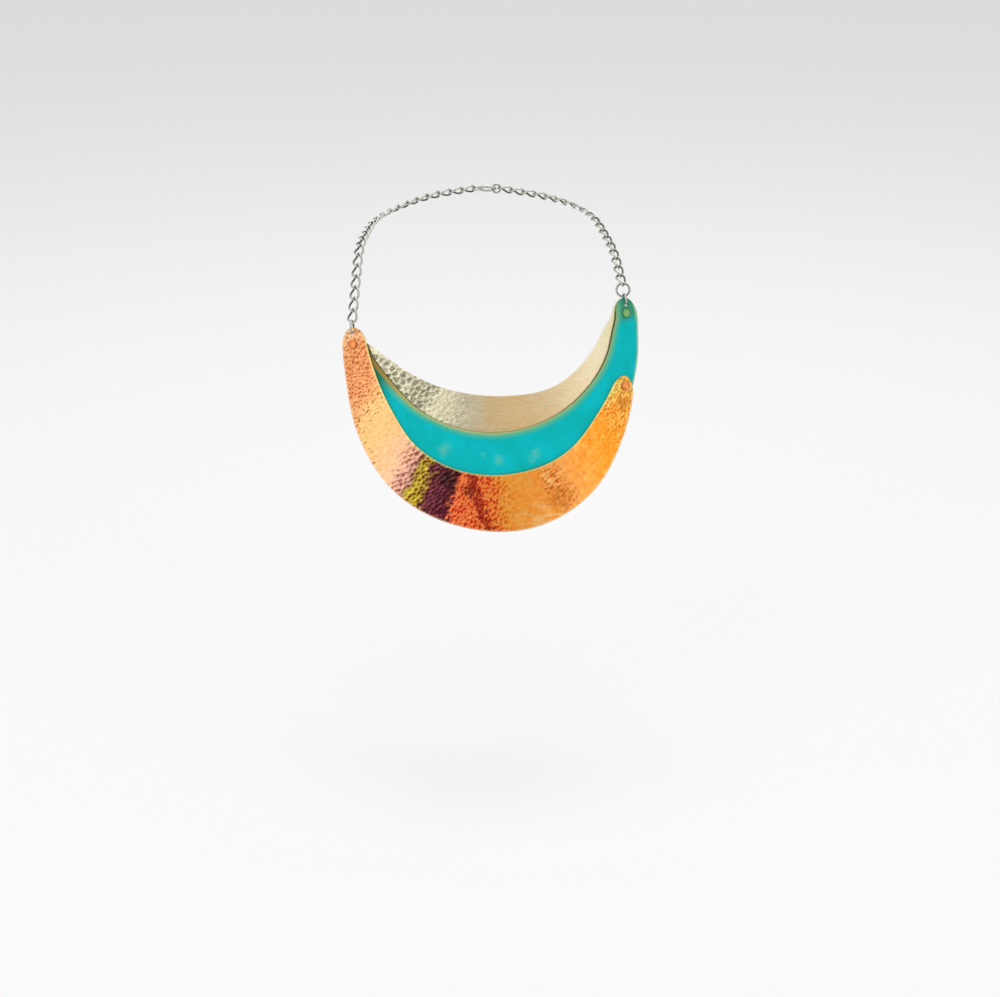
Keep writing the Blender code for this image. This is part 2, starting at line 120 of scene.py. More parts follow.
class Finish:
    """Nodes of one material, or of the room, that end in its shader."""

    def __init__(self, owner, shader="Principled BSDF"):
        owner.use_nodes = True
        self.owner = owner
        self.tree = owner.node_tree
        self.shader = self.tree.nodes[shader]

    def put(self, socket, value):
        if isinstance(value, Value):
            self.tree.links.new(value.socket, socket)
        else:
            socket.default_value = value

    def node(self, kind, settings, values, output=0):
        """Any node: its type, its settings, its sockets' values or links, and which output."""
        made = self.tree.nodes.new(kind)
        stops = settings.pop("stops", None)
        for name, value in settings.items():
            setattr(made, name, value)
        if stops:
            steps = made.color_ramp.elements
            steps.remove(steps[1])
            steps[0].position, steps[0].color = stops[0][0], (*stops[0][1], 1)
            for place, shade in stops[1:]:
                steps.new(place).color = (*shade, 1)
        for name, value in values.items():
            self.put(made.inputs[name], value)
        return Value(self, made.outputs[output])

    def kept(self, name, output="Fac"):
        """A number or vector that the mesh keeps for each vertex."""
        return self.node("ShaderNodeAttribute", {"attribute_name": name}, {}, output)

    def noise(self, place, scale, detail, roughness, distortion=0.0):
        values = {"Vector": place, "Scale": scale, "Detail": detail}
        values.update({"Roughness": roughness, "Distortion": distortion})
        return self.node("ShaderNodeTexNoise", {}, values)

    def stretched(self, place, scale, turn):
        """A place in a pattern that is scaled by its axes and turned."""
        values = {"Vector": place, "Scale": scale, "Rotation": (0, 0, turn)}
        return self.node("ShaderNodeMapping", {}, values)

    def between(self, value, low, high):
        """0 below the low value, 1 above the high one, and smooth between them."""
        values = {"Value": value, "From Min": low, "From Max": high}
        return self.node("ShaderNodeMapRange", {"interpolation_type": "SMOOTHSTEP"}, values)

    def mix(self, share, first, second, way="MIX"):
        """Colour between two colours."""
        settings = {"data_type": "RGBA", "blend_type": way, "clamp_factor": True}
        return self.node("ShaderNodeMix", settings, {0: share, 6: first, 7: second}, 2)

    def tint(self, share, shade, red, green, blue):
        """Colour that goes by a share from a shade to one of 0 to 255 values."""
        return self.mix(share, shade, opaque(colour(red, green, blue)))

    def ramp(self, value, stops):
        """Colours at stops that are given in the value's own unit."""
        low, high = stops[0][0], stops[-1][0]
        places = [((at - low) / (high - low), shade) for at, shade in stops]
        share = (value - low) * (1 / (high - low))
        return self.node("ShaderNodeValToRGB", {"stops": places}, {0: share})

    def tones(self, angle, table):
        """Colour along a crescent, from rows of an angle and three 0 to 255 values."""
        return self.ramp(angle, [(row[0], colour(*row[1:])) for row in table])

    def bump(self, height, strength, distance):
        values = {"Height": height, "Strength": strength, "Distance": distance}
        return self.node("ShaderNodeBump", {}, values)

    def paint(self, **values):
        """Put values on the shader's own sockets."""
        for name, value in values.items():
            self.put(self.shader.inputs[name.replace("_", " ")], value)
        return self.owner


def opaque(shade):
    return (*shade, 1.0)


def new_finish(name):
    return Finish(bpy.data.materials.new(name))


def colour(red, green, blue):
    """Linear colour from the 0 to 255 values that a screen shows."""
    shares = [value / 255 for value in (red, green, blue)]
    return tuple(s / 12.92 if s <= 0.04045 else ((s + 0.055) / 1.055) ** 2.4 for s in shares)


floor_grid = bmesh.new()
bmesh.ops.create_grid(floor_grid, x_segments=1, y_segments=1, size=FLOOR_SIDE / 2)
bmesh.ops.translate(floor_grid, verts=floor_grid.verts, vec=(0, 0, -FLOOR_DROP))
floor_mesh = bpy.data.meshes.new("floor")
floor_grid.to_mesh(floor_mesh)
floor_grid.free()
floor = bpy.data.objects.new("floor", floor_mesh)
bpy.context.scene.collection.objects.link(floor)
floor_mesh.materials.append(
    new_finish("floor_paint").paint(
        Base_Color=opaque(FLOOR_PAINT), Roughness=0.9, Specular_IOR_Level=0.1
    )
)

bpy.context.scene.world = bpy.data.worlds.new("room")
room = Finish(bpy.context.scene.world, "Background")
direction = room.node("ShaderNodeTexCoord", {}, {}, "Generated")
height = room.node("ShaderNodeSeparateXYZ", {}, {0: direction}, "Z")
depth = room.node("ShaderNodeSeparateXYZ", {}, {0: direction}, "Y")
walls = room.ramp(height, WALL_TONES)
front = room.between(0 - depth, 0.60, 0.97)
walls = room.mix(front * FRONT_SHARE, walls, opaque(FRONT_TONE))
room.paint(Color=walls, Strength=ROOM_STRENGTH)

for name, place, width, power, tint in SOFT_BOXES:
    light = bpy.data.lights.new(name, "AREA")
    light.shape = "SQUARE"
    light.size = width
    light.energy = power
    light.color = tint
    box = bpy.data.objects.new(name, light)
    box.location = place
    box.rotation_euler = (Vector(BIB_MIDDLE) - Vector(place)).to_track_quat("-Z", "Y").to_euler()
    bpy.context.scene.collection.objects.link(box)

# Brass crescent. The back plate of the bib, sawn from 0.8 mm brass sheet: heavily planished
# at its left end, where the blows carry painted shade in their dishes between bright ridges,
# and smoother with fine drawn lines towards the right. It is bent to the chest with the other two.
# The bib leans about a point ahead of the nape and below it, and the centre that all three
# crescents are drawn about is above that point, along the sheet. Sizes are in metres.
BIB_FORWARD = 0.141
BIB_DROP = 0.088
BIB_LEAN = math.radians(25)
BIB_BEND = 0.190
CENTRE_RISE = 0.045
TIP_LENGTH = 0.0087
SHEET = 0.0008
EDGE_ROUND = 0.00018
DRILL_SIDES = 32
SHARP = math.radians(50)
# Blows of the hammer: tries at a place, how far past the edges they may fall, and how much
# their depth, stretch, reach and way vary
HAMMER_TRIES = 14000
PAST_EDGE = 0.001
PAST_TIP = 3
DEPTH_RANGE = (0.35, 1.25)
STRETCH_RANGE = (0.85, 1.25)
REACH_SHARE = 0.95
REACH_RANGE = (0.85, 1.2)
WAY_SPREAD = 26
# Relief: blows that bear on a place, how round the ridges between them are, the shares of the
# depth that are seen and that lift the sheet, and how far the sheet buckles
NEAR_BLOWS = 6
RIDGE_ROUND = 0.000012
RELIEF_SHARE = 0.75
SWELL_SHARE = 0.2
BUCKLE = 0.00002
# Way across a dish to its wall that faces the painted light from the upper left
LOWER_RIGHT = (0.6, -0.8)
BRASS_RADII = (0.036, 0.0635)
BRASS_LIFT = -0.0011
BRASS_CELLS = (470, 58)
# Angle from straight down, in degrees, and the edges as shares of the radii at the middle
BRASS_OUTLINE = (
    (-88, 1.972, 1.230),
    (-82, 1.755, 1.222),
    (-70, 1.478, 1.190),
    (-50, 1.203, 1.110),
    (-25, 1.033, 1.040),
    (0, 1.000, 1.000),
    (25, 1.094, 1.040),
    (50, 1.331, 1.125),
    (75, 1.606, 1.235),
    (91, 1.828, 1.306),
    (98, 1.986, 1.330),
    (104, 2.045, 1.342),
)
# Angle, spacing and depth of the blows, how much longer than wide they are, and which way
BRASS_HAMMERING = (
    (-92, 0.0024, 0.00024, 1.2, 40),
    (-70, 0.0032, 0.00034, 1.2, 40),
    (-52, 0.0028, 0.00030, 1.15, 60),
    (-34, 0.0020, 0.00020, 1.2, 60),
    (-14, 0.0020, 0.00012, 1.5, 0),
    (4, 0.0024, 0.00006, 2.6, 0),
    (60, 0.0026, 0.00006, 3.0, 0),
    (108, 0.0026, 0.00008, 3.0, 0),
)
BRASS_SEED = 11
# Angle, and the colour there
BRASS_TONES = (
    (-86, 228, 218, 188),
    (-72, 178, 175, 146),
    (-42, 172, 170, 138),
    (-34, 230, 223, 186),
    (-22, 224, 214, 178),
    (-18, 208, 198, 166),
    (-8, 212, 197, 160),
    (2, 222, 190, 138),
    (20, 230, 194, 134),
    (48, 220, 196, 152),
    (80, 214, 202, 166),
    (100, 200, 196, 152),
)
# Holes, as places on the flat sheets, in metres across and up from the crescents' centre
LEFT_RIVET = (-0.074344, -0.006897)
RIGHT_RIVET = (0.078829, 0.010798)
LOWER_RIVET = (0.077782, -0.029391)
LEFT_HOLE = (-0.075086, -0.000655)
RIGHT_HOLE = (0.079245, 0.015979)
RIVET_HOLE = 0.0015
LEFT_RING_HOLE = 0.00100
RIGHT_RING_HOLE = 0.00128


def smooth_values(knots, values, at):
    """Values at places on a smooth curve through values that stand at the knots."""
    knots, values = np.array(knots, float), np.array(values, float)
    last = len(knots) - 1
    first = np.clip(np.searchsorted(knots, at, side="right") - 1, 0, last - 1)
    steps = np.arange(last + 1)
    before, after = np.maximum(steps - 1, 0), np.minimum(steps + 1, last)
    slopes = (values[after] - values[before]) / (knots[after] - knots[before])
    span = knots[first + 1] - knots[first]
    t = (at - knots[first]) / span
    start_part = 2 * t**3 - 3 * t**2 + 1
    return (
        values[first] * start_part
        + slopes[first] * (t**3 - 2 * t**2 + t) * span
        + values[first + 1] * (1 - start_part)
        + slopes[first + 1] * (t**3 - t**2) * span
    )


def edges_at(outline, radii, angles):
    """Inner and outer radius of a crescent at angles."""
    rows = np.array(outline, float)
    inner = radii[0] * smooth_values(rows[:, 0], rows[:, 1], angles)
    outer = radii[1] * smooth_values(rows[:, 0], rows[:, 2], angles)
    return inner, outer


def bend_to_chest(across, up, lift):
    """Places on the flat bib, taken to where the bent and leaning bib has them."""
    turn = across / BIB_BEND
    reach = BIB_BEND + lift
    x = reach * np.sin(turn)
    y = BIB_BEND - reach * np.cos(turn)
    z = CENTRE_RISE + up
    lean_y = y * math.cos(BIB_LEAN) + z * math.sin(BIB_LEAN) - BIB_FORWARD
    lean_z = z * math.cos(BIB_LEAN) - y * math.sin(BIB_LEAN) - BIB_DROP
    return np.stack([x, lean_y, lean_z], axis=-1)


def coordinates(mesh):
    flat = np.empty(len(mesh.vertices) * 3, np.float32)
    mesh.vertices.foreach_get("co", flat)
    return flat.reshape(-1, 3).astype(float)


def move_to(mesh, places):
    mesh.vertices.foreach_set("co", np.ascontiguousarray(places, np.float32).ravel())
    mesh.update()


def note(mesh, name, values):
    """Keep a number for each vertex, which the material reads by name."""
    attribute = mesh.attributes.new(name, "FLOAT", "POINT")
    attribute.data.foreach_set("value", np.ascontiguousarray(values, np.float32))


def shown(name, mesh, material, node):
    """Object for a finished mesh: it rides on the necklace and stands for its CAD node."""
    mesh.materials.append(material)
    piece = bpy.data.objects.new(name, mesh)
    bpy.context.scene.collection.objects.link(piece)
    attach(piece, "root")
    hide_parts(node)


def sawn_sheet(name, outline, radii, cells, holes):
    """Flat crescent with rounded tips and eased edges, drilled where its holes are."""
    tips = np.array([outline[0][0], outline[-1][0]], float)
    inner, outer = edges_at(outline, radii, tips)
    tip_turn = np.degrees(TIP_LENGTH / ((inner + outer) / 2))
    body = (tips[0] + tip_turn[0], tips[1] - tip_turn[1])
    full = math.radians(body[1] - body[0]) * (inner + outer).mean() / 2
    tip_share = TIP_LENGTH / (full / 2 + TIP_LENGTH)
    bm = bmesh.new()
    bmesh.ops.create_grid(bm, x_segments=cells[0], y_segments=cells[1], size=1)
    bmesh.ops.recalc_face_normals(bm, faces=bm.faces[:])
    grid = np.array([vert.co[:2] for vert in bm.verts])
    along, aside = grid[:, 0], grid[:, 1]
    into_tip = np.clip((np.abs(along) - (1 - tip_share)) / tip_share, 0, 1)
    past = into_tip * np.sqrt(1 - aside**2 / 2)
    width = aside * np.sqrt(1 - into_tip**2 / 2)
    straight = np.clip(along / (1 - tip_share), -1, 1)
    angles = body[0] + (straight + 1) / 2 * (body[1] - body[0])
    angles += np.where(along > 0, past * tip_turn[1], -past * tip_turn[0])
    inner, outer = edges_at(outline, radii, angles)
    radius = (inner + outer) / 2 - width * (outer - inner) / 2
    for vert, turn, reach in zip(bm.verts, np.radians(angles), radius):
        vert.co = (reach * math.sin(turn), -reach * math.cos(turn), 0)
    bmesh.ops.recalc_face_normals(bm, faces=bm.faces[:])
    if sum(face.normal.z for face in bm.faces) < 0:
        bmesh.ops.reverse_faces(bm, faces=bm.faces[:])
    bmesh.ops.solidify(bm, geom=bm.faces[:], thickness=SHEET)
    low = min(vert.co.z for vert in bm.verts)
    bmesh.ops.translate(bm, verts=bm.verts[:], vec=(0, 0, -low - SHEET / 2))
    rims = [edge for edge in bm.edges if edge.calc_face_angle(0) > 1]
    bmesh.ops.bevel(
        bm,
        geom=rims,
        offset=EDGE_ROUND,
        segments=2,
        profile=0.5,
        affect="EDGES",
        material=-1,
        clamp_overlap=True,
    )
    bmesh.ops.recalc_face_normals(bm, faces=bm.faces[:])
    flat = bpy.data.meshes.new(name)
    bm.to_mesh(flat)
    bm.free()
    sheet = bpy.data.objects.new(name, flat)
    bpy.context.scene.collection.objects.link(sheet)
    drills = []
    for place, size in holes:
        bit = bmesh.new()
        bmesh.ops.create_cone(
            bit, cap_ends=True, segments=DRILL_SIDES, radius1=size, radius2=size, depth=SHEET * 4
        )
        bmesh.ops.translate(bit, verts=bit.verts, vec=(*place, 0))
        bit_mesh = bpy.data.meshes.new("drill")
        bit.to_mesh(bit_mesh)
        bit.free()
        drill = bpy.data.objects.new("drill", bit_mesh)
        bpy.context.scene.collection.objects.link(drill)
        cut = sheet.modifiers.new("hole", "BOOLEAN")
        cut.operation = "DIFFERENCE"
        cut.object = drill
        drills.append(drill)
    depsgraph = bpy.context.evaluated_depsgraph_get()
    drilled = bpy.data.meshes.new_from_object(sheet.evaluated_get(depsgraph))
    for thing in (sheet, *drills):
        bpy.data.objects.remove(thing, do_unlink=True)
    drilled.name = name
    return drilled


def hammer_blows(outline, radii, hammering, seed):
    """Blows strewn over a crescent, each as far from the others as its table says there.

    Rows of the table: angle, spacing, depth, stretch, and the direction of the stretch in
    degrees from the way along the crescent.
    """
    dice = np.random.default_rng(seed)
    rows = np.array(hammering, float)
    first, last = outline[0][0], outline[-1][0]
    angles = dice.uniform(first - PAST_TIP, last + PAST_TIP, HAMMER_TRIES)
    inner, outer = edges_at(outline, radii, np.clip(angles, first, last))
    radius = inner - PAST_EDGE + (outer - inner + PAST_EDGE * 2) * dice.random(HAMMER_TRIES)
    places = np.stack([radius * np.sin(np.radians(angles)), -radius * np.cos(np.radians(angles))], 1)
    spacing = np.interp(angles, rows[:, 0], rows[:, 1])
    kept = np.empty((HAMMER_TRIES, 2))
    chosen = []
    for index in range(HAMMER_TRIES):
        gaps = np.hypot(*(kept[: len(chosen)] - places[index]).T)
        if not chosen or gaps.min() > spacing[index]:
            kept[len(chosen)] = places[index]
            chosen.append(index)
    angles, spacing, count = angles[chosen], spacing[chosen], len(chosen)
    depth = np.interp(angles, rows[:, 0], rows[:, 2]) * dice.uniform(*DEPTH_RANGE, count)
    stretch = np.interp(angles, rows[:, 0], rows[:, 3]) * dice.uniform(*STRETCH_RANGE, count)
    way = np.interp(angles, rows[:, 0], rows[:, 4]) + dice.normal(0, WAY_SPREAD, count)
    return {
        "place": places[chosen],
        "reach": spacing * REACH_SHARE * dice.uniform(*REACH_RANGE, count),
        "depth": depth,
        "stretch": np.maximum(stretch, 1),
        "way": np.radians(angles + way),
        "tone": dice.random(count),
    }


def struck(places, blows, roundness):
    """Relief at places, and of the dish each is in: how far inside, which side, and its tone.

    Inside is 0 on the ridge round a dish and 1 in its middle. The side is above 0 at a dish's
    lower right, which faces up and to the left, and below 0 across from there. The materials
    paint highlights where it is above 0 and shade where it is below, as if lit from the upper
    left.
    """
    tree = KDTree(len(blows["place"]))
    for index, place in enumerate(blows["place"]):
        tree.insert((*place, 0), index)
    tree.balance()
    hits = [tree.find_n((*place, 0), NEAR_BLOWS) for place in places]
    near = np.array([[hit[1] for hit in found] for found in hits])
    offset = places[:, None, :] - blows["place"][near]
    cosine, sine = np.cos(blows["way"][near]), np.sin(blows["way"][near])
    along = offset[..., 0] * cosine + offset[..., 1] * sine
    aside = offset[..., 1] * cosine - offset[..., 0] * sine
    squared = (along / blows["stretch"][near]) ** 2 + aside**2
    bowl = squared / blows["reach"][near] ** 2 - 1
    dishes = blows["depth"][near] * bowl
    order = bowl.argsort(axis=1)
    rows = np.arange(len(places))
    soft = np.exp(-dishes / roundness).sum(axis=1) + 1
    nearest = near[rows, order[:, 0]]
    margin = bowl[rows, order[:, 1]] - bowl[rows, order[:, 0]]
    inside = np.clip(margin * blows["stretch"][nearest] ** 1.6 / 1.5, 0, 1)
    across, up = offset[rows, order[:, 0]].T
    side = (across * LOWER_RIGHT[0] + up * LOWER_RIGHT[1]) / blows["reach"][nearest]
    return -roundness * np.log(soft), inside, side, blows["tone"][nearest]


def finish_crescent(flat, outline, radii, lift, blows, roundness):
    """Hammer a flat crescent, keep what its material needs, and bend it to the chest."""
    places = coordinates(flat)
    across, up, height = places.T
    radius, angles = np.hypot(across, up), np.degrees(np.arctan2(across, -up))
    inner, outer = edges_at(outline, radii, np.clip(angles, outline[0][0], outline[-1][0]))
    relief, inside, side, tone = struck(places[:, :2], blows, roundness)
    buckle = np.sin(across * 95 + up * 40) * np.sin(up * 120 - across * 30 + 1) * BUCKLE
    level = lift + height + relief * RELIEF_SHARE + blows["depth"].max() * SWELL_SHARE + buckle
    note(flat, "along", angles)
    note(flat, "dish", inside)
    # Side of the dish at each place, for the materials' painted highlights and shade
    note(flat, "side", side)
    note(flat, "tone", tone)
    note(flat, "from_inner", (radius - inner) * 1000)
    note(flat, "from_outer", (outer - radius) * 1000)
    spot = flat.attributes.new("flat_mm", "FLOAT_VECTOR", "POINT")
    spot.data.foreach_set("vector", np.ascontiguousarray(places * 1000, np.float32).ravel())
    move_to(flat, bend_to_chest(across, up, level))
    flat.shade_smooth()
    flat.set_sharp_from_angle(angle=SHARP)


def brass_finish():
    """Pale brass: painted shade in the left dishes, painted glints and highlights, drawn lines."""
    finish = new_finish("planished_brass")
    place = finish.kept("flat_mm", "Vector")
    along = finish.kept("along")
    dish = finish.kept("dish")
    tone = finish.kept("tone")
    cloud = finish.noise(place, 0.09, 4.0, 0.6)
    base = finish.tones(along + (cloud - 0.5) * 8, BRASS_TONES)
    fine = finish.noise(place, 0.9, 4.0, 0.7)
    left_end = 1 - finish.between(along + (cloud - 0.5) * 22, -44, -32)
    left_tip = 1 - finish.between(along, -88, -74)
    faceted = 1 - finish.between(along + (cloud - 0.5) * 12, -22, -1)
    # Painted shade in the dishes, and painted highlights on the sides of the blows facing the light
    facing = finish.kept("side") + (fine - 0.5) * 0.5
    shaded_hollow = finish.between(dish + (fine - 0.5) * 0.5 - facing * 0.25, 0.14, 0.60)
    shaded_hollow = shaded_hollow * (0.5 + tone * 0.7)
    dish_shade = shaded_hollow * (left_end * 0.80 + faceted * 0.3) * (1 - left_tip * 0.5)
    shade = finish.tint(dish_shade.clamped(), base, 104, 106, 82)
    # Bright flecks on the faceted part: painted glints
    glint_flecks = finish.between(fine + (tone - 0.5) * 0.2, 0.54, 0.68) * faceted
    shade = finish.tint(glint_flecks * 0.65, shade, 255, 250, 214)
    lit = finish.between(facing, 0.10, 0.60) * (0.25 + faceted * 0.75)
    shade = finish.tint(lit * 0.38, shade, 255, 248, 222)
    drawn = finish.stretched(place, (0.14, 1.6, 1), math.radians(-10))
    streaks = finish.noise(drawn, 1.2, 4.0, 0.7)
    shade = finish.tint((streaks - 0.45).clamped() * 1.4, shade, 255, 240, 212)
    shade = finish.tint((0.42 - streaks).clamped() * 1.5, shade, 176, 150, 112)
    # Painted highlight along the inner edge
    inner_edge_highlight = 1 - finish.between(finish.kept("from_inner"), 0.1, 0.7)
    shade = finish.tint(inner_edge_highlight * 0.5, shade, 250, 244, 222)
    return finish.paint(
        Base_Color=shade,
        Metallic=0.82,
        Roughness=0.27 + streaks * 0.16 + dish_shade * 0.14,
        Normal=finish.bump(streaks * 0.5 + fine * 0.5, 0.45, 0.00016),
    )


brass_holes = ((LEFT_RIVET, RIVET_HOLE), (RIGHT_RIVET, RIVET_HOLE), (RIGHT_HOLE, RIGHT_RING_HOLE))
brass_mesh = sawn_sheet("brass_plate", BRASS_OUTLINE, BRASS_RADII, BRASS_CELLS, brass_holes)
brass_blows = hammer_blows(BRASS_OUTLINE, BRASS_RADII, BRASS_HAMMERING, BRASS_SEED)
finish_crescent(brass_mesh, BRASS_OUTLINE, BRASS_RADII, BRASS_LIFT, brass_blows, RIDGE_ROUND)
shown("brass_plate", brass_mesh, brass_finish(), "brass_crescent")

# Patina crescent. The middle plate, sawn from 0.8 mm copper sheet and coated in a matte
# turquoise patina. The coat thins to green and bare gold at its edges and has a few pale
# worn spots.
PATINA_RADII = (0.0555, 0.0875)
PATINA_LIFT = 0.0
PATINA_CELLS = (420, 44)
PATINA_OUTLINE = (
    (-88, 1.254, 0.905),
    (-64, 1.072, 0.926),
    (-40, 1.018, 0.977),
    (-16, 1.000, 1.000),
    (8, 1.016, 1.006),
    (32, 1.058, 1.011),
    (56, 1.132, 1.014),
    (80, 1.238, 0.998),
    (90, 1.274, 0.989),
    (97, 1.319, 0.990),
    (104, 1.337, 0.978),
)
PATINA_HAMMERING = ((-95, 0.006, 0.00002, 1.5, 0), (110, 0.006, 0.00002, 1.5, 0))
PATINA_SEED = 12
PATINA_RIDGE_ROUND = 0.00001
# Colour of the bare rim by the angle
PATINA_RIM_TONES = (
    (-86, 130, 92, 30),
    (-68, 170, 138, 64),
    (-52, 184, 176, 104),
    (-34, 176, 188, 122),
    (-12, 188, 192, 134),
    (24, 160, 190, 128),
    (60, 138, 190, 136),
    (100, 136, 180, 136),
)
# Worn spots: angle, radius and reach in millimetres
WORN_SPOTS = (
    (-19.2, 69.3, 5.2),
    (-1.3, 68.3, 1.9),
    (5.6, 71.3, 3.0),
    (21.5, 72.4, 3.6),
    (19.0, 74.6, 2.4),
)


def patch(finish, place, angle, radius, ragged, core, reach):
    """1 within a core round a spot on the bib and 0 past its reach, both in millimetres.

    The spot is at an angle and a radius, and the ragged value moves the patch's edge.
    """
    turn = math.radians(angle)
    spot = (radius * math.sin(turn), -radius * math.cos(turn), 0)
    settings = {"operation": "DISTANCE"}
    away = finish.node("ShaderNodeVectorMath", settings, {0: place, 1: spot}, 1)
    return 1 - finish.between(away + ragged, core, reach)


def patina_finish():
    """Turquoise coat: green and bare gold towards its edges, worn in spots, thin behind."""
    finish = new_finish("turquoise_patina")
    place = finish.kept("flat_mm", "Vector")
    along = finish.kept("along")
    inside = finish.kept("from_inner")
    outside = finish.kept("from_outer")
    cloud = finish.noise(place, 0.07, 4.0, 0.6)
    speck = finish.noise(place, 1.6, 3.0, 0.7)
    base = finish.tint(finish.between(cloud, 0.3, 0.7), opaque(colour(0, 192, 200)), 0, 180, 180)
    ragged = (cloud - 0.5) * 2.2 + (speck - 0.5) * 0.9
    # Greener coat by the inner edge and at the tips, and darker green painted shade by the copper
    inner_green = 1 - finish.between(inside + ragged, 1.6, 4.6)
    under_copper = 1 - finish.between(along + (cloud - 0.5) * 8, 58, 70)
    # Painted shade: darker green just beside the copper's edge
    green_shade_by_copper = (1 - finish.between(outside + ragged * 0.6, 8.0, 10.2)) * under_copper
    shade = finish.tint((inner_green + green_shade_by_copper).clamped() * 0.75, base, 20, 164, 140)
    right_end = finish.between(along + (cloud - 0.5) * 4, 93, 98)
    shade = finish.tint(right_end * 0.9, shade, 64, 142, 106)
    left_arm = 1 - finish.between(along, -75, -30)
    rim_width = left_arm * 1.1 + ragged * 0.6
    pale_green = 1 - finish.between(inside - rim_width - left_arm, 1.4, 4.4)
    shade = finish.tint(pale_green * 0.62, shade, 110, 196, 154)
    left_end = 1 - finish.between(along + (cloud - 0.5) * 8, -70, -53)
    shade = finish.tint(left_end * 0.9, shade, 14, 108, 80)
    # Bare metal at the rims
    rim = 1 - finish.between(inside - rim_width, 0.7, 1.9)
    shade = finish.mix(rim * 0.9, shade, finish.tones(along, PATINA_RIM_TONES))
    golden = finish.between(speck, 0.50, 0.62) * (1 - finish.between(inside, 0.5, 1.7))
    shade = finish.tint(golden * 0.7, shade, 188, 156, 82)
    bare = 1 - finish.between(outside + ragged * 0.25 - right_end * 0.5, 0.5, 1.4)
    bare_arm = bare * finish.between(along, 40, 66)
    shade = finish.tint(bare_arm * 0.85, shade, 148, 200, 150)
    # Dark brown sawn edge wall: its own colour, darkened as painted shadow of the gap to the brass
    sawn_edge_and_gap_shadow = 1 - finish.between(inside, 0.10, 0.22)
    shade = finish.tint(sawn_edge_and_gap_shadow, shade, 92, 76, 22)
    # Worn spots, a painted shadow of the copper's edge in front, and the thin coat on the back
    blotch = finish.noise(place, 0.7, 3.0, 0.7)
    worn_edge = (cloud - 0.5) * 7 + (blotch - 0.5) * 12
    worn = 0
    for angle, radius, reach in WORN_SPOTS:
        worn = worn + patch(finish, place, angle, radius, worn_edge, reach * 0.2, reach)
    thin_coat = finish.between(blotch + (speck - 0.5) * 0.4, 0.34, 0.62)
    shade = finish.tint(worn.clamped() * thin_coat * 0.65, shade, 112, 200, 156)
    front = finish.between(finish.node("ShaderNodeSeparateXYZ", {}, {0: place}, "Z"), -0.2, 0.2)
    # Painted shadow that the copper's edge casts on the front of the coat
    copper_edge_shadow = (1 - finish.between(outside + (speck - 0.5) * 0.5, 8.3, 9.0)) * under_copper * front
    shade = finish.tint(copper_edge_shadow * 0.65, shade, 12, 92, 84)
    sprayed_thin = finish.between(cloud + (blotch - 0.5) * 0.4, 0.42, 0.66) * (1 - front)
    shade = finish.tint(sprayed_thin * 0.6, shade, 74, 132, 104)
    powder = finish.noise(place, 3.5, 4.0, 0.7)
    shade = finish.tint(finish.between(powder, 0.55, 0.75) * 0.3, shade, 30, 208, 204)
    return finish.paint(
        Base_Color=shade,
        Metallic=rim * 0.4,
        Roughness=0.60 + powder * 0.2 - rim * 0.1,
        Specular_IOR_Level=0.10,
        Normal=finish.bump(powder * 0.6 + speck * 0.4, 0.30, 0.00012),
    )


patina_holes = (
    (LEFT_RIVET, RIVET_HOLE),
    (RIGHT_RIVET, RIVET_HOLE),
    (LOWER_RIVET, RIVET_HOLE),
    (RIGHT_HOLE, RIGHT_RING_HOLE),
)
patina_mesh = sawn_sheet("patina_plate", PATINA_OUTLINE, PATINA_RADII, PATINA_CELLS, patina_holes)
patina_blows = hammer_blows(PATINA_OUTLINE, PATINA_RADII, PATINA_HAMMERING, PATINA_SEED)
finish_crescent(
    patina_mesh, PATINA_OUTLINE, PATINA_RADII, PATINA_LIFT, patina_blows, PATINA_RIDGE_ROUND
)
shown("patina_plate", patina_mesh, patina_finish(), "patina_crescent")

# Copper crescent. The front plate, sawn from 0.8 mm copper sheet and hammered with a small
# domed hammer. Its colours, peach and gold, then plum and red in the middle, then orange, are
# partly torch colours and partly painted reflections of the room. Its left arm carries the
# ring and its right arm ends at the lower rivet.
COPPER_RADII = (0.0795, 0.110)
COPPER_LIFT = 0.0011
COPPER_CELLS = (640, 66)
COPPER_OUTLINE = (
    (-92, 0.852, 0.733),
    (-71, 0.821, 0.755),
    (-50, 0.848, 0.832),
    (-29, 0.931, 0.921),
    (-9, 0.982, 0.976),
    (12, 1.003, 1.004),
    (32, 1.001, 0.965),
    (53, 0.958, 0.870),
    (73, 0.962, 0.793),
)
COPPER_HAMMERING = (
    (-95, 0.0020, 0.00018, 1.1, 0),
    (-84, 0.0018, 0.00020, 1.1, 0),
    (-68, 0.0016, 0.00018, 1.2, 60),
    (-61, 0.0015, 0.00018, 1.9, 112),
    (-52, 0.0016, 0.00010, 2.1, 108),
    (-38, 0.0024, 0.00005, 2.0, 60),
    (-28, 0.0019, 0.00024, 1.5, 60),
    (-14, 0.0016, 0.00024, 1.8, 60),
    (2, 0.0016, 0.00026, 1.9, 105),
    (8, 0.0018, 0.00018, 2.0, 60),
    (18, 0.0022, 0.00008, 2.6, 20),
    (24, 0.0019, 0.00016, 2.4, 35),
    (36, 0.0024, 0.00008, 1.5, 60),
    (46, 0.0020, 0.00014, 1.8, 20),
    (60, 0.0014, 0.00020, 1.9, 15),
    (76, 0.0013, 0.00018, 1.6, 30),
)
COPPER_SEED = 13
